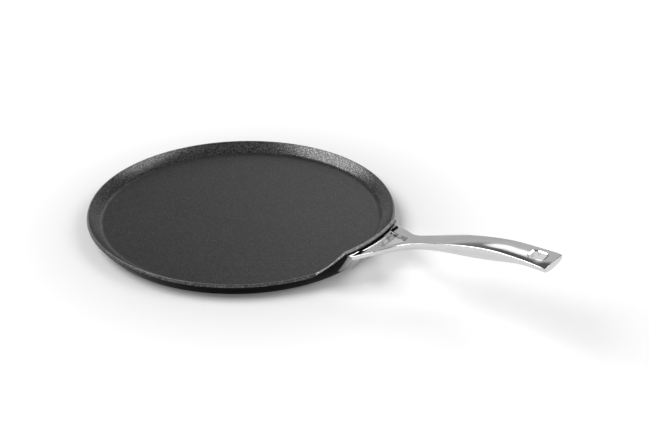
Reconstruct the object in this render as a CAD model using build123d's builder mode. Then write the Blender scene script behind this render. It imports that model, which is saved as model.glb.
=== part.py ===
from build123d import *
import math
import os

os.makedirs("parts", exist_ok=True)

# A crepe pan: one low forged pan with a raised tab, a magnetic base disc, one cast handle
# and the two rivets that hold it. Millimetres. Origin at the centre of the resting face,
# +Z up, +X along the handle.

# Pan body
rim_radius = 142.8
rim_height = 15.25
lip_slope = 69.0
floor_height = 6.0
floor_inset = 12.8
floor_fillet = 8.0
base_inset = 9.1
base_lift = 0.4
base_corner = 2.2
inner_bow = 37.0
outer_bow = 92.0
lip_round = 0.7

# Raised tab of the wall, where the handle is fastened
tab_height = 32.1
tab_flare = 10.0
tab_lean = 1.1
tab_wall = 3.3
tab_half_width = 37.0
tab_foot_half_width = 56.5
tab_corner_fillet = 2.5
tab_foot_fillet = 2.0

# Magnetic disc, let into the underside
disc_inset = 26.8
disc_thickness = 1.2
disc_clearance = 0.15
disc_bevel = 0.3
disc_groove_inset = 6.0
disc_groove_width = 0.8
disc_groove_depth = 0.25

# Handle flange, on the outside of the tab
seat_gap = 0.05
flange_bottom = 9.0
flange_drop = 3.5
flange_thickness = 3.4
flange_round = 1.2
flange_half_width = 23.4
ear_thickness = 2.0
ear_half_width = 34.2
web_thickness = 3.0
web_past_rim = 17.2
web_fillet = 4.0
web_round = 0.8

# Fork and neck of the handle, whose top follows a sloping plane
root_past_rim = 1.2
root_drop = 3.0
root_half_width = 34.5
fork_drop = 5.8
window_past_rim = 12.7
window_half_width = 20.5
window_neck_gap = 13.8
window_tip_half_width = 3.5
window_corner = 2.0
window_round = 0.7
neck_past_rim = 54.2
neck_rise = 19.6
neck_half_width = 9.0

# Grip
handle_past_rim = 178.7
grip_rise = 22.9
grip_half_width = 13.1
grip_depth = 14.0
grip_crown = 1.2
grip_side = 2.8
grip_edge = 0.9
grip_end_round = 0.6

# Hang hole near the tip, with a bevel round its mouth
hole_tip_gap = 14.2
hole_length = 12.0
hole_width = 12.4
hole_corner = 3.0
hole_bevel_length = 17.4
hole_bevel_width = 16.6
hole_bevel_corner = 4.6
hole_bevel_drop = 0.5

# Rivets
rivet_spacing = 32.6
rivet_drop = 10.6
rivet_diameter = 5.0
rivet_clearance = 0.1
rivet_head_diameter = 12.0
rivet_head_height = 2.2
rivet_tail_diameter = 7.6
rivet_tail_height = 2.6
rivet_seat = 0.5

overrun = 40.0
match = 0.01

# Sections of the fork, from the root to the neck: place along it, then how much of its
# spread, of the grip's depth, crown and side height each section has
fork_share = (
    (0, 1.15, 0.43, 0.08, 1.25),
    (0.13, 1, 0.43, 0.08, 1.25),
    (0.245, 0.87, 0.43, 0.08, 1.25),
    (0.36, 0.715, 0.43, 0.08, 1.25),
    (0.54, 0.445, 0.44, 0.08, 1.25),
    (0.66, 0.25, 0.49, 0.1, 1.2),
    (0.81, 0.065, 0.57, 0.12, 1.1),
    (1, 0, 0.585, 0.17, 1.05),
)

# Sections of the grip, from behind the neck to the tip: place, rise, swell, depth, crown, side
grip_share = (
    (0.12, 0.228, 0.03, 0.675, 0.35, 1),
    (0.263, 0.484, 0.39, 0.84, 0.7, 1),
    (0.422, 0.714, 0.53, 1, 0.95, 1),
    (0.582, 0.882, 0.73, 0.98, 1, 1),
    (0.741, 0.965, 0.93, 0.725, 1, 1),
    (0.869, 0.982, 1.07, 0.51, 0.9, 1),
    (1, 0.967, 1.21, 0.41, 0.45, 0.85),
)


# Places that keep their distance from the rim, the tab, the neck or the tip
disc_radius = rim_radius - disc_inset
root_reach = rim_radius + root_past_rim
web_reach = rim_radius + web_past_rim
window_reach = rim_radius + window_past_rim
neck_reach = rim_radius + neck_past_rim
window_tip_reach = neck_reach - window_neck_gap
handle_reach = rim_radius + handle_past_rim
hole_reach = handle_reach - hole_tip_gap
flange_top = tab_height - flange_drop
rivet_height = tab_height - rivet_drop
root_height = flange_top - root_drop
neck_height = root_height + neck_rise
handle_height = neck_height + grip_rise


def bow_centre(start, end, radius):
    """Centre of the arc from start up to end that bulges outwards and down."""
    run = end[0] - start[0]
    rise = end[1] - start[1]
    chord = math.hypot(run, rise)
    reach = math.sqrt(radius**2 - (chord / 2) ** 2)
    return (
        (start[0] + end[0]) / 2 - reach * rise / chord,
        (start[1] + end[1]) / 2 + reach * run / chord,
    )


def bow_at(centre, radius, height):
    """The arc's point at a height, as distance from the pan's axis and height."""
    return (centre[0] + math.sqrt(radius**2 - (centre[1] - height) ** 2), height)


def bow_arc(centre, radius, low, high):
    """The arc between two heights, drawn upwards."""
    places = [bow_at(centre, radius, height) for height in (low, (low + high) / 2, high)]
    return ThreePointArc(*places)


# The wall's two faces, from the floor or the base up to the top of the tab
inner_start = (rim_radius - floor_inset, floor_height)
inner_end = (rim_radius + tab_flare - tab_wall, tab_height)
inner_centre = bow_centre(inner_start, inner_end, inner_bow)
outer_start = (rim_radius - base_inset, base_lift)
outer_end = (rim_radius + tab_flare, tab_height - tab_lean)
outer_centre = bow_centre(outer_start, outer_end, outer_bow)

# The lip is cut steeply down and outwards
lip_inner = bow_at(inner_centre, inner_bow, rim_height)
lip_out = (math.cos(math.radians(lip_slope)), -math.sin(math.radians(lip_slope)))
lip_past = tuple(lip_inner[axis] + lip_out[axis] * tab_flare for axis in (0, 1))
lip_before = tuple(lip_inner[axis] - lip_out[axis] * tab_flare for axis in (0, 1))
ramp_run = (tab_foot_half_width - tab_half_width) / (tab_height - rim_height)
ramp_low = rim_height - tab_flare
ramp_high = tab_height + tab_flare


def on_bow(place, centre, radius):
    """Whether a place lies on the face that an arc sweeps round the pan's axis."""
    return abs(math.dist((math.hypot(place.X, place.Y), place.Z), centre) - radius) < match


def bounds_lip(edge):
    """Whether an edge runs along the inner or outer edge of the lip, its ramps or its tab."""
    places = [edge.position_at(share) for share in (0, 0.5, 1)]
    inside = all(on_bow(place, inner_centre, inner_bow) for place in places)
    outside = all(on_bow(place, outer_centre, outer_bow) for place in places)
    return (inside or outside) and edge.bounding_box().min.Z > floor_height + lip_round


def crosses_wall(edge):
    """Whether an edge runs from the wall's inner face to its outer face, beside the tab."""
    ends = (edge.position_at(0), edge.position_at(1))
    inside = any(on_bow(place, inner_centre, inner_bow) for place in ends)
    outside = any(on_bow(place, outer_centre, outer_bow) for place in ends)
    return inside and outside and edge.center().X > 0 and abs(edge.center().Y) > match


# Handle faces that follow the wall's outer face
seat_bow = outer_bow + seat_gap
flange_bow = seat_bow + flange_thickness
ear_bow = seat_bow + ear_thickness

fork_rise = (neck_height - root_height) / (neck_reach - root_reach)
fork_run = 1 / math.hypot(1, fork_rise)
fork_plane = Plane(
    origin=(neck_reach, 0, neck_height),
    x_dir=(1, 0, fork_rise),
    z_dir=(-fork_rise, 0, 1),
)

# Where each rivet crosses the wall's outer face, and its direction outwards
rivet_place = bow_at(outer_centre, outer_bow, rivet_height)
rivet_out = [(rivet_place[axis] - outer_centre[axis]) / outer_bow for axis in (0, 1)]
rivet_wall = math.dist(rivet_place, inner_centre) - inner_bow
rivet_turn = math.asin(rivet_spacing / 2 / rivet_place[0])


def rivet_plane(side):
    """Plane on the wall's outer face at one rivet, facing outwards."""
    across = math.cos(rivet_turn)
    along = math.sin(rivet_turn) * side
    return Plane(
        origin=(rivet_place[0] * across, rivet_place[0] * along, rivet_height),
        x_dir=(-along, across, 0),
        z_dir=(rivet_out[0] * across, rivet_out[0] * along, rivet_out[1]),
    )


with BuildPart() as rim_cut:
    # All that stands above the lip, but for the tab and its two ramps
    with BuildSketch(Plane.XZ):
        with BuildLine():
            Polyline(
                lip_before,
                lip_past,
                (lip_past[0] + overrun, lip_past[1]),
                (lip_past[0] + overrun, tab_height + overrun),
                (lip_before[0], tab_height + overrun),
                close=True,
            )
        make_face()
    revolve(axis=Axis.Z)
    with BuildSketch(Plane.YZ):
        with BuildLine():
            low_half = tab_foot_half_width + (rim_height - ramp_low) * ramp_run
            high_half = tab_half_width - (ramp_high - tab_height) * ramp_run
            Polyline(
                (-low_half, ramp_low),
                (-high_half, ramp_high),
                (high_half, ramp_high),
                (low_half, ramp_low),
                close=True,
            )
        make_face()
    extrude(amount=rim_radius + overrun, mode=Mode.SUBTRACT)


with BuildPart() as pan_body:
    with BuildSketch(Plane.XZ) as pan_section:
        with BuildLine():
            Line((0, base_lift), (0, floor_height))
            Line((0, floor_height), inner_start)
            bow_arc(inner_centre, inner_bow, floor_height, tab_height)
            Line(inner_end, outer_end)
            bow_arc(outer_centre, outer_bow, base_lift, outer_end[1])
            Line(outer_start, (0, base_lift))
        make_face()
        fillet(pan_section.vertices().sort_by_distance(inner_start)[0], radius=floor_fillet)
        fillet(pan_section.vertices().sort_by_distance(outer_start)[0], radius=base_corner)
    revolve(axis=Axis.Z)
    add(rim_cut.part, mode=Mode.SUBTRACT)

    # Soft changes of direction where each ramp leaves the lip and where it meets the tab's top
    crossing = pan_body.edges().filter_by(crosses_wall).sort_by(Axis.Z)
    fillet(crossing[:2], radius=tab_foot_fillet)
    crossing = pan_body.edges().filter_by(crosses_wall).sort_by(Axis.Z)
    fillet(crossing[-2:], radius=tab_corner_fillet)
    fillet(pan_body.edges().filter_by(bounds_lip), radius=lip_round)

    with BuildSketch(Plane.XY):
        Circle(disc_radius + disc_clearance)
    extrude(amount=disc_thickness, mode=Mode.SUBTRACT)
    for side in (-1, 1):
        with BuildSketch(rivet_plane(side)):
            Circle(rivet_diameter / 2 + rivet_clearance)
        extrude(amount=overrun, both=True, mode=Mode.SUBTRACT)
pan_body.part.label = "pan_body"
export_step(pan_body.part, "parts/pan_body.step")


with BuildPart() as base_disc:
    with BuildSketch(Plane.XY):
        Circle(disc_radius)
    extrude(amount=disc_thickness)
    chamfer(base_disc.edges().group_by(Axis.Z)[0], length=disc_bevel)
    with BuildSketch(Plane.XY):
        Circle(disc_radius - disc_groove_inset)
        Circle(disc_radius - disc_groove_inset - disc_groove_width, mode=Mode.SUBTRACT)
    extrude(amount=disc_groove_depth, mode=Mode.SUBTRACT)
base_disc.part.label = "base_disc"
export_step(base_disc.part, "parts/base_disc.step")


with BuildPart() as inside_seat:
    # Everything inside the face that the handle seats on
    with BuildSketch(Plane.XZ):
        with BuildLine():
            seat_low = bow_at(outer_centre, seat_bow, base_lift)
            seat_high = bow_at(outer_centre, seat_bow, tab_height)
            Polyline(seat_high, (0, tab_height), (0, base_lift), seat_low)
            bow_arc(outer_centre, seat_bow, base_lift, tab_height)
        make_face()
    revolve(axis=Axis.Z)


def flange_plate(bow, half_width):
    """A plate from inside the wall out to an arc, as wide as the handle has it there."""
    with BuildPart() as plate:
        with BuildSketch(Plane.XZ) as plate_section:
            with BuildLine():
                low = bow_at(outer_centre, bow, flange_bottom)
                high = bow_at(outer_centre, bow, flange_top)
                inner = low[0] - overrun
                Polyline(high, (inner, flange_top), (inner, flange_bottom), low)
                bow_arc(outer_centre, bow, flange_bottom, flange_top)
            make_face()
            fillet(plate_section.vertices().sort_by_distance(high)[0], radius=flange_round)
        revolve(axis=Axis.Z)
        with BuildSketch(Plane.YZ):
            Rectangle(half_width * 2, tab_height * 2)
        extrude(amount=rim_radius + overrun, mode=Mode.INTERSECT)
    return plate.part


def handle_section(reach, half_width, top, depth, crown, side):
    """A D-shaped section across the handle: crowned top, short sides, round belly."""
    with BuildSketch(Plane.YZ.offset(reach)) as section:
        with BuildLine():
            ThreePointArc((-half_width, top), (0, top + crown), (half_width, top))
            Line((half_width, top), (half_width, top - side))
            EllipticalCenterArc(
                (0, top - side), half_width, depth - side, start_angle=180, arc_size=180
            )
            Line((-half_width, top - side), (-half_width, top))
        make_face()
        fillet(section.vertices().group_by(Axis.Z)[-1], radius=grip_edge)
    return section.sketch


def stands_on_ear(edge):
    """Whether an edge is where the thick middle of the flange steps down to an ear."""
    middle = edge.position_at(0.5)
    return on_bow(middle, outer_centre, ear_bow) and abs(abs(middle.Y) - flange_half_width) < match


flange_ears = flange_plate(ear_bow, ear_half_width)
flange_middle = flange_plate(flange_bow, flange_half_width)

handle_sections = []
for place, spread, depth, crown, side in fork_share:
    reach = root_reach + place * (neck_reach - root_reach)
    section = handle_section(
        reach,
        neck_half_width + spread * (root_half_width - neck_half_width),
        neck_height - (neck_reach - reach) * fork_rise,
        depth * grip_depth,
        crown * grip_crown,
        side * grip_side,
    )
    handle_sections.append(section)
for place, rise, swell, depth, crown, side in grip_share:
    section = handle_section(
        neck_reach + place * (handle_reach - neck_reach),
        neck_half_width + swell * (grip_half_width - neck_half_width),
        neck_height + rise * (handle_height - neck_height),
        depth * grip_depth,
        crown * grip_crown,
        side * grip_side,
    )
    handle_sections.append(section)

with BuildPart() as handle:
    loft(handle_sections)

    with BuildSketch(Plane.YZ):
        Rectangle(ear_half_width * 2, handle_height * 3)
    extrude(amount=handle_reach, mode=Mode.INTERSECT)

    # Window of the fork, open towards the tab
    with BuildSketch(fork_plane) as window:
        with BuildLine():
            tip = (window_tip_reach - neck_reach) / fork_run
            mouth = (window_reach - neck_reach) / fork_run
            widening = (window_half_width - window_tip_half_width) / (tip - mouth)
            past = window_half_width + widening * (window_reach - root_reach) / fork_run
            Polyline(
                (tip, -window_tip_half_width),
                (tip, window_tip_half_width),
                ((root_reach - neck_reach) / fork_run, past),
                ((root_reach - neck_reach) / fork_run, -past),
                close=True,
            )
        make_face()
        fillet(window.vertices().group_by(Axis.X)[-1], radius=window_corner)
    extrude(amount=grip_depth, both=True, mode=Mode.SUBTRACT)
    across_window = Axis(fork_plane.origin, fork_plane.z_dir)
    window_rims = handle.edges(Select.LAST).filter_by(across_window, reverse=True)
    fillet(window_rims, radius=window_round)

    # Flange, with a web under each arm of the fork
    add(flange_ears)
    add(flange_middle)
    for side in (-1, 1):
        with BuildSketch(Plane.XZ.offset(side * (flange_half_width - web_thickness / 2))):
            with BuildLine():
                foot = bow_at(outer_centre, flange_bow, flange_bottom)[0]
                under_arm = neck_height - (neck_reach - web_reach) * fork_rise - fork_drop
                Polyline(
                    (foot - flange_thickness, flange_bottom),
                    (foot, flange_bottom),
                    (web_reach, under_arm),
                    (web_reach, under_arm + fork_drop / 2),
                    (foot - flange_thickness, flange_top - fork_drop),
                    close=True,
                )
            make_face()
        extrude(amount=web_thickness / 2, both=True)
    add(inside_seat.part, mode=Mode.SUBTRACT)
    ear_steps = handle.edges().filter_by(stands_on_ear).sort_by(SortBy.LENGTH)
    fillet(ear_steps[-2:], radius=web_fillet)
    fillet(handle.edges().filter_by(GeomType.LINE).sort_by(SortBy.LENGTH)[-4:], radius=web_round)

    # Hang hole and its bevel
    with BuildSketch(Plane.XY.offset(handle_height - hole_bevel_drop)):
        with Locations((hole_reach, 0)):
            RectangleRounded(hole_length, hole_width, hole_corner)
    extrude(amount=-grip_depth, mode=Mode.SUBTRACT)
    with BuildSketch(Plane.XY.offset(handle_height - hole_bevel_drop)):
        with Locations((hole_reach, 0)):
            RectangleRounded(hole_length, hole_width, hole_corner)
    with BuildSketch(Plane.XY.offset(handle_height + grip_crown)):
        with Locations((hole_reach, 0)):
            RectangleRounded(hole_bevel_length, hole_bevel_width, hole_bevel_corner)
    loft(mode=Mode.SUBTRACT)
    fillet(handle.edges().group_by(Axis.X)[-1], radius=grip_end_round)

    for side in (-1, 1):
        with BuildSketch(rivet_plane(side)):
            Circle(rivet_diameter / 2 + rivet_clearance)
        extrude(amount=overrun / 2, both=True, mode=Mode.SUBTRACT)
handle.part.label = "handle"
export_step(handle.part, "parts/handle.step")


def dome_arc(radius, level, height):
    """Half the outline of a round head, from its rim to its middle, up or down."""
    bow = (radius**2 + height**2) / (2 * height)
    half_turn = math.asin(radius / bow) / 2
    middle = (bow * math.sin(half_turn), level + height - bow * (1 - math.cos(half_turn)))
    return ThreePointArc((radius, level), middle, (0, level + height))


with BuildPart() as clamped:
    # The wall and the flange together, which the rivets clamp, with room for their shanks
    with BuildSketch(Plane.XZ):
        with BuildLine():
            Line(inner_start, bow_at(outer_centre, flange_bow + match, floor_height))
            bow_arc(outer_centre, flange_bow + match, floor_height, tab_height)
            Line(bow_at(outer_centre, flange_bow + match, tab_height), inner_end)
            bow_arc(inner_centre, inner_bow, floor_height, tab_height)
        make_face()
    revolve(axis=Axis.Z)
    for side in (-1, 1):
        with BuildSketch(rivet_plane(side)):
            Circle(rivet_diameter / 2)
        extrude(amount=overrun / 2, both=True, mode=Mode.SUBTRACT)

for side, name in ((-1, "rivet_right"), (1, "rivet_left")):
    seat = rivet_plane(side)
    inner_level = -rivet_wall
    outer_level = seat_gap + flange_thickness
    with BuildPart() as rivet:
        with BuildSketch(Plane(seat.origin, x_dir=seat.x_dir, z_dir=seat.x_dir.cross(seat.z_dir))):
            with BuildLine():
                dome_arc(rivet_head_diameter / 2, inner_level, -rivet_head_height)
                Polyline(
                    (rivet_head_diameter / 2, inner_level),
                    (rivet_head_diameter / 2, inner_level + rivet_seat),
                    (rivet_tail_diameter / 2, outer_level - rivet_seat),
                    (rivet_tail_diameter / 2, outer_level),
                )
                dome_arc(rivet_tail_diameter / 2, outer_level, rivet_tail_height)
                Line((0, outer_level + rivet_tail_height), (0, inner_level - rivet_head_height))
            make_face()
        revolve(axis=Axis(seat.origin, seat.z_dir))
        add(clamped.part, mode=Mode.SUBTRACT)
    rivet.part.label = name
    export_step(rivet.part, f"parts/{name}.step")
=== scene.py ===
import math

import bpy
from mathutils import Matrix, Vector

# A crepe pan on a plain white studio floor. Metres. The frame has the pan's resting face at
# the origin, +Z up and +X along the handle.

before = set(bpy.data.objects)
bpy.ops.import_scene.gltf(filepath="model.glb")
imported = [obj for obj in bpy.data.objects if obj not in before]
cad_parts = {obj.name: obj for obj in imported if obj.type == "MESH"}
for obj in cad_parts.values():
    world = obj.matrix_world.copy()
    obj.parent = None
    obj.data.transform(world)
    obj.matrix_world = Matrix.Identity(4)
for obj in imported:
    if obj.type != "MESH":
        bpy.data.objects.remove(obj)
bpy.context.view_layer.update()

# Camera, at the photograph's viewing angle
IMAGE_WIDTH = 650
SENSOR_WIDTH = 36.0
FOCAL_PIXELS = 1302.0
CAMERA_AZIMUTH = math.radians(37.0)
CAMERA_ELEVATION = math.radians(28.45)
CAMERA_DISTANCE = 1.2184
CAMERA_TARGET = Vector((0.06205, 0.04669, 0.0029))

# Floor: its size, its grey, and how much of it the camera sees as plain white, with painted light
# that pales the shadow round the pan and under the handle. Each lift is the distance where it
# starts, the distance where it is full, and the amount.
FLOOR_SIZE = 6.0
FLOOR_GREY = 0.87
LIFT_EVERYWHERE = 0.03
# Painted light: the next lift and the one under the handle brighten the pan's and the handle's
# shadows for the camera
PAINTED_LIGHT_ROUND_PAN = (0.145, 0.26, 0.14)
LIFT_FAR_AWAY = (0.45, 1.6, 0.85)
PAINTED_LIGHT_UNDER_HANDLE = (0.09, 0.03, 0.18)
UNDER_HANDLE = (0.17, 0.01, 0)

# Studio: grey levels by the height of the direction, from level to straight up, behind the
# pan and in front of it. Each patch is an azimuth and an elevation in degrees, the angle
# within which it is full and the angle beyond which it is gone.
LEVELS_BEHIND = [(0, 0.48), (0.2, 0.5), (0.32, 0.53), (0.42, 0.22), (0.6, 0.1), (1, 0.08)]
LEVELS_IN_FRONT = [(0, 0.8), (0.35, 0.8), (0.55, 0.4), (0.75, 0.28), (1, 0.28)]
PANEL = (112, 23, 13, 17)
PANEL_LEVEL = 0.54
BRIGHT_PATCHES = ((120.5, 34, 3.5, 7), (126, 28.5, 3, 6.5))
FRONT = (-53, 0, 70, 100)

# Lamps: azimuth, elevation, distance, width, height, radiance
SOFTBOXES = {
    "softbox_left": (-148, 50, 3.0, 2.7, 1.8, 4.6),
    "softbox_right": (38, 44, 3.0, 2.4, 1.5, 2.8),
}

# Coating: cells per metre of the specks, and the heights between which the lighter top of the lip
# begins and between which it turns to the still lighter top of the tab, each partly wear and
# partly a painted highlight
SPECK_CELLS = 1300.0
LIP_WEAR_AND_HIGHLIGHT_HEIGHTS = (0.01, 0.012)
TAB_WEAR_AND_HIGHLIGHT_HEIGHTS = (0.016, 0.024)


def direction_to(azimuth, elevation):
    """Unit vector towards an azimuth from +X and an elevation, in degrees."""
    turn, rise = math.radians(azimuth), math.radians(elevation)
    return Vector(
        (math.cos(turn) * math.cos(rise), math.sin(turn) * math.cos(rise), math.sin(rise))
    )


def add_camera():
    """The camera looks at a place beside the pan's middle, from its right and above."""
    back = Vector(
        (
            math.sin(CAMERA_AZIMUTH) * math.cos(CAMERA_ELEVATION),
            -math.cos(CAMERA_AZIMUTH) * math.cos(CAMERA_ELEVATION),
            math.sin(CAMERA_ELEVATION),
        )
    )
    data = bpy.data.cameras.new("camera")
    data.sensor_fit = "HORIZONTAL"
    data.sensor_width = SENSOR_WIDTH
    data.lens = FOCAL_PIXELS / IMAGE_WIDTH * SENSOR_WIDTH
    data.clip_start = 0.01
    data.clip_end = 50.0
    camera = bpy.data.objects.new("camera", data)
    camera.location = CAMERA_TARGET + back * CAMERA_DISTANCE
    camera.rotation_euler = back.to_track_quat("Z", "Y").to_euler()
    bpy.context.scene.collection.objects.link(camera)
    bpy.context.scene.camera = camera


class Nodes:
    """A node tree with short calls to add nodes and link them."""

    def __init__(self, tree):
        self.tree = tree
        tree.nodes.clear()

    def add(self, kind, settings=None, **inputs):
        node = self.tree.nodes.new(kind)
        for name, value in (settings or {}).items():
            setattr(node, name, value)
        for name, value in inputs.items():
            self.feed(node.inputs[name], value)
        return node

    def feed(self, socket, value):
        if isinstance(value, bpy.types.NodeSocket):
            self.tree.links.new(value, socket)
        else:
            socket.default_value = value

    def math(self, operation, first, second=0.0):
        node = self.tree.nodes.new("ShaderNodeMath")
        node.operation = operation
        self.feed(node.inputs[0], first)
        self.feed(node.inputs[1], second)
        return node.outputs[0]

    def blend(self, factor, low, high):
        """low where the factor is 0, high where it is 1."""
        node = self.tree.nodes.new("ShaderNodeMix")
        node.data_type = "FLOAT"
        self.feed(node.inputs[0], factor)
        self.feed(node.inputs[2], low)
        self.feed(node.inputs[3], high)
        return node.outputs[0]

    def colour(self, factor, low, high):
        """The same with two colours, each as three numbers or as a socket."""
        node = self.tree.nodes.new("ShaderNodeMix")
        node.data_type = "RGBA"
        self.feed(node.inputs[0], factor)
        for index, value in ((6, low), (7, high)):
            linked = isinstance(value, bpy.types.NodeSocket)
            self.feed(node.inputs[index], value if linked else (*value, 1))
        return node.outputs[2]

    def step(self, value, start, end):
        """0 at start, 1 at end, smooth between."""
        node = self.tree.nodes.new("ShaderNodeMapRange")
        node.interpolation_type = "SMOOTHSTEP"
        self.feed(node.inputs["Value"], value)
        node.inputs["From Min"].default_value = start
        node.inputs["From Max"].default_value = end
        return node.outputs[0]

    def curve(self, value, stops):
        """A grey curve through (place, level) stops, with places from 0 to 1."""
        node = self.tree.nodes.new("ShaderNodeValToRGB")
        elements = node.color_ramp.elements
        ends = [elements[0], elements[-1]]
        for element, (place, level) in zip(ends, (stops[0], stops[-1])):
            element.position = place
            element.color = (level, level, level, 1)
        for place, level in stops[1:-1]:
            elements.new(place).color = (level, level, level, 1)
        self.feed(node.inputs["Fac"], value)
        return node.outputs["Color"]

    def noise(self, place, scale, detail):
        node = self.add("ShaderNodeTexNoise", Vector=place, Scale=scale, Detail=detail)
        return node.outputs["Fac"]

    def bump(self, height, strength, distance, normal=None):
        node = self.add("ShaderNodeBump", Height=height, Strength=strength, Distance=distance)
        if normal is not None:
            self.feed(node.inputs["Normal"], normal)
        return node.outputs["Normal"]


def principled(name):
    """A new material with its nodes and its Principled shader."""
    material = bpy.data.materials.new(name)
    material.use_nodes = True
    nodes = Nodes(material.node_tree)
    shader = nodes.add("ShaderNodeBsdfPrincipled")
    output = nodes.add("ShaderNodeOutputMaterial")
    nodes.tree.links.new(shader.outputs["BSDF"], output.inputs["Surface"])
    return material, nodes, shader


def add_floor():
    """A plain floor with the pan's shadow, which the camera sees go to full white far away, and
    which painted light pales round the pan and under the handle.
    """
    mesh = bpy.data.meshes.new("floor")
    half = FLOOR_SIZE / 2
    corners = [(-half, -half, 0), (half, -half, 0), (half, half, 0), (-half, half, 0)]
    mesh.from_pydata(corners, [], [(0, 1, 2, 3)])
    floor = bpy.data.objects.new("floor", mesh)
    bpy.context.scene.collection.objects.link(floor)
    material, nodes, shader = principled("floor_white")
    shader.inputs["Base Color"].default_value = (FLOOR_GREY, FLOOR_GREY, FLOOR_GREY, 1)
    shader.inputs["Roughness"].default_value = 0.9
    shader.inputs["Specular IOR Level"].default_value = 0.0
    place = nodes.add("ShaderNodeTexCoord").outputs["Object"]

    def lift(centre, start, end, amount):
        """Nothing at the start distance from a centre, the full amount at the end one."""
        away = nodes.add("ShaderNodeVectorMath", {"operation": "DISTANCE"})
        nodes.feed(away.inputs[0], place)
        away.inputs[1].default_value = centre
        return nodes.math("MULTIPLY", nodes.step(away.outputs["Value"], start, end), amount)

    # Painted light: the floor is brightened for the camera under the handle and round the pan,
    # paling the shadows there
    glow = nodes.math("ADD", lift(UNDER_HANDLE, *PAINTED_LIGHT_UNDER_HANDLE), LIFT_EVERYWHERE)
    glow = nodes.math("ADD", glow, lift((0, 0, 0), *PAINTED_LIGHT_ROUND_PAN))
    glow = nodes.math("ADD", glow, lift((0, 0, 0), *LIFT_FAR_AWAY))
    seen = nodes.add("ShaderNodeLightPath").outputs["Is Camera Ray"]
    shader.inputs["Emission Color"].default_value = (1, 1, 1, 1)
    nodes.feed(shader.inputs["Emission Strength"], nodes.math("MULTIPLY", seen, glow))
    mesh.materials.append(material)


def add_world():
    """A studio for the pan to mirror; the camera itself sees plain white."""
    world = bpy.data.worlds.new("studio")
    world.use_nodes = True
    bpy.context.scene.world = world
    nodes = Nodes(world.node_tree)
    way = nodes.add("ShaderNodeTexCoord").outputs["Generated"]
    height = nodes.add("ShaderNodeSeparateXYZ", Vector=way).outputs["Z"]

    def near(azimuth, elevation, inner, outer):
        """1 within the inner angle of a direction, 0 beyond the outer one."""
        node = nodes.add("ShaderNodeVectorMath", {"operation": "DOT_PRODUCT"})
        nodes.feed(node.inputs[0], way)
        node.inputs[1].default_value = direction_to(azimuth, elevation)
        start, end = math.cos(math.radians(outer)), math.cos(math.radians(inner))
        return nodes.step(node.outputs["Value"], start, end)

    panel = nodes.math("MULTIPLY", near(*PANEL), PANEL_LEVEL)
    behind = nodes.math("MAXIMUM", nodes.curve(height, LEVELS_BEHIND), panel)
    bright = nodes.math("MAXIMUM", *(near(*patch) for patch in BRIGHT_PATCHES))
    behind = nodes.math("ADD", behind, bright)
    front = nodes.curve(height, LEVELS_IN_FRONT)
    level = nodes.blend(near(*FRONT), behind, front)
    seen = nodes.add("ShaderNodeLightPath").outputs["Is Camera Ray"]
    studio = nodes.add("ShaderNodeBackground", Strength=level)
    studio.inputs["Color"].default_value = (1, 1, 1, 1)
    backdrop = nodes.add("ShaderNodeBackground")
    backdrop.inputs["Color"].default_value = (1, 1, 1, 1)
    shown = nodes.add("ShaderNodeMixShader", Fac=seen)
    nodes.tree.links.new(studio.outputs[0], shown.inputs[1])
    nodes.tree.links.new(backdrop.outputs[0], shown.inputs[2])
    output = nodes.add("ShaderNodeOutputWorld")
    nodes.tree.links.new(shown.outputs[0], output.inputs["Surface"])


def add_softbox(name, azimuth, elevation, distance, width, height, radiance):
    """A lamp that faces the pan, as bright to look at as radiance says."""
    data = bpy.data.lights.new(name, "AREA")
    data.shape = "RECTANGLE"
    data.size = width
    data.size_y = height
    data.energy = radiance * math.pi * width * height
    lamp = bpy.data.objects.new(name, data)
    out = direction_to(azimuth, elevation)
    lamp.location = out * distance
    lamp.rotation_euler = out.to_track_quat("Z", "Y").to_euler()
    bpy.context.scene.collection.objects.link(lamp)


def polished_steel():
    """Mirror polish with faint smudges and the ripple that buffing leaves."""
    material, nodes, shader = principled("polished_steel")
    place = nodes.add("ShaderNodeTexCoord").outputs["Object"]
    smudge = nodes.noise(place, 38.0, 4.0)
    grain = nodes.noise(place, 1400.0, 2.0)
    ripple = nodes.noise(place, 60.0, 1.0)
    shade = nodes.step(smudge, 0.35, 0.7)
    tint = nodes.colour(shade, (0.76, 0.76, 0.765), (0.8, 0.8, 0.8))
    nodes.feed(shader.inputs["Base Color"], tint)
    shader.inputs["Metallic"].default_value = 1.0
    nodes.feed(shader.inputs["Roughness"], nodes.blend(shade, 0.06, 0.12))
    fine = nodes.bump(grain, 0.03, 0.0001)
    nodes.feed(shader.inputs["Normal"], nodes.bump(ripple, 0.05, 0.0006, fine))
    return material


def rivet_steel():
    """Satin steel with a turned grain and duller patches."""
    material, nodes, shader = principled("rivet_steel")
    place = nodes.add("ShaderNodeTexCoord").outputs["Object"]
    patch = nodes.noise(place, 220.0, 3.0)
    grain = nodes.noise(place, 2600.0, 2.0)
    tint = nodes.colour(patch, (0.55, 0.55, 0.555), (0.68, 0.68, 0.685))
    nodes.feed(shader.inputs["Base Color"], tint)
    shader.inputs["Metallic"].default_value = 1.0
    nodes.feed(shader.inputs["Roughness"], nodes.blend(patch, 0.2, 0.38))
    nodes.feed(shader.inputs["Normal"], nodes.bump(grain, 0.15, 0.0001))
    return material


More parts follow.
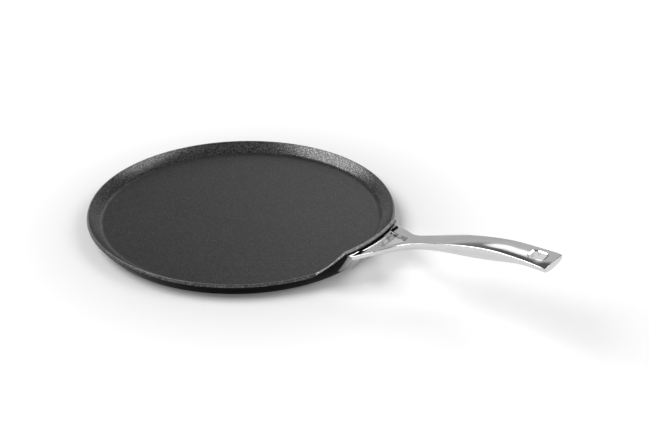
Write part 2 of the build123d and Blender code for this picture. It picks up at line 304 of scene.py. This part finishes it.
def base_steel():
    """Spun steel: fine rings round the pan's axis, dulled here and there by the hob."""
    material, nodes, shader = principled("base_steel")
    place = nodes.add("ShaderNodeTexCoord").outputs["Object"]
    parts = nodes.add("ShaderNodeSeparateXYZ", Vector=place)
    across = nodes.math("POWER", parts.outputs["X"], 2.0)
    along = nodes.math("POWER", parts.outputs["Y"], 2.0)
    radius = nodes.math("SQRT", nodes.math("ADD", across, along))
    ring_place = nodes.add("ShaderNodeCombineXYZ", X=radius)
    rings = nodes.noise(ring_place.outputs[0], 1500.0, 3.0)
    wear = nodes.step(nodes.noise(place, 26.0, 5.0), 0.45, 0.7)
    clean = nodes.colour(rings, (0.48, 0.48, 0.485), (0.6, 0.6, 0.605))
    nodes.feed(shader.inputs["Base Color"], nodes.colour(wear, clean, (0.42, 0.41, 0.4)))
    shader.inputs["Metallic"].default_value = 1.0
    smooth = nodes.blend(rings, 0.24, 0.36)
    nodes.feed(shader.inputs["Roughness"], nodes.blend(wear, smooth, 0.5))
    nodes.feed(shader.inputs["Normal"], nodes.bump(rings, 0.3, 0.0001))
    return material


def coating():
    """Non-stick coating: fine light specks inside, lip and tab tops worn and painted lighter as a
    highlight, plain and dark outside.
    """
    material, nodes, shader = principled("coating")
    place = nodes.add("ShaderNodeTexCoord").outputs["Object"]
    normal = nodes.add("ShaderNodeNewGeometry").outputs["Normal"]
    facing = nodes.add("ShaderNodeSeparateXYZ", Vector=normal).outputs["Z"]
    height = nodes.add("ShaderNodeSeparateXYZ", Vector=place).outputs["Z"]
    cloud = nodes.noise(place, 14.0, 4.0)

    # Where: inside or outside, the flat floor, and the top of the lip and tab, worn and with a
    # painted highlight
    inside = nodes.step(facing, 0.0, 0.25)
    flat = nodes.step(facing, 0.95, 0.995)
    above = nodes.step(height, *LIP_WEAR_AND_HIGHLIGHT_HEIGHTS)
    top = nodes.math("MULTIPLY", nodes.step(facing, 0.78, 0.94), above)
    scuff = nodes.step(nodes.noise(place, 160.0, 3.0), 0.3, 0.65)
    worn_and_painted_highlight = nodes.math("MULTIPLY", top, nodes.blend(scuff, 0.5, 1.0))

    # Specks: cells picked by chance, more of them on the wall than on the floor
    cells = nodes.add("ShaderNodeTexVoronoi", Vector=place, Scale=SPECK_CELLS)
    chance = nodes.add("ShaderNodeSeparateColor", Color=cells.outputs["Color"]).outputs[0]
    chosen = nodes.blend(flat, nodes.step(chance, 0.1, 0.9), nodes.step(chance, 0.3, 1.0))
    speck = nodes.math("MULTIPLY", chosen, nodes.step(cells.outputs["Distance"], 0.6, 0.25))

    dark = nodes.colour(cloud, (0.005, 0.005, 0.0052), (0.008, 0.008, 0.0082))
    glint = nodes.colour(flat, (0.29, 0.29, 0.293), (0.19, 0.19, 0.192))
    plain = nodes.colour(cloud, (0.003, 0.003, 0.003), (0.006, 0.006, 0.006))
    coat = nodes.colour(inside, plain, nodes.colour(speck, dark, glint))
    # Painted highlight: the lip's top gets a lighter grey and the tab's top a lighter one still,
    # partly wear and partly a painted highlight
    on_tab = nodes.step(height, *TAB_WEAR_AND_HIGHLIGHT_HEIGHTS)
    bare_and_painted_highlight = nodes.colour(on_tab, (0.17, 0.17, 0.172), (0.34, 0.34, 0.343))
    nodes.feed(shader.inputs["Base Color"], nodes.colour(worn_and_painted_highlight, coat, bare_and_painted_highlight))
    nodes.feed(shader.inputs["Metallic"], nodes.blend(inside, 1.0, speck))
    shader.inputs["Specular IOR Level"].default_value = 1.0
    shader.inputs["Specular Tint"].default_value = (0.62, 0.62, 0.62, 1)

    rough = nodes.math("MULTIPLY", flat, 0.09)
    rough = nodes.math("ADD", nodes.blend(cloud, 0.25, 0.3), rough)
    nodes.feed(shader.inputs["Roughness"], nodes.blend(inside, 0.22, rough))
    grain = nodes.noise(place, 1300.0, 3.0)
    strength = nodes.blend(inside, 0.02, 0.12)
    nodes.feed(shader.inputs["Normal"], nodes.bump(grain, strength, 0.0002))
    return material


def dress(node, material):
    """Puts one material in every slot of a node's mesh."""
    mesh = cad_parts[node].data
    for index in range(len(mesh.materials)):
        mesh.materials[index] = material


add_camera()
add_floor()
add_world()
for name, numbers in SOFTBOXES.items():
    add_softbox(name, *numbers)
dress("handle", polished_steel())
rivets = rivet_steel()
dress("rivet_left", rivets)
dress("rivet_right", rivets)
dress("base_disc", base_steel())
dress("pan_body", coating())
bpy.context.scene.view_settings.view_transform = "Standard"
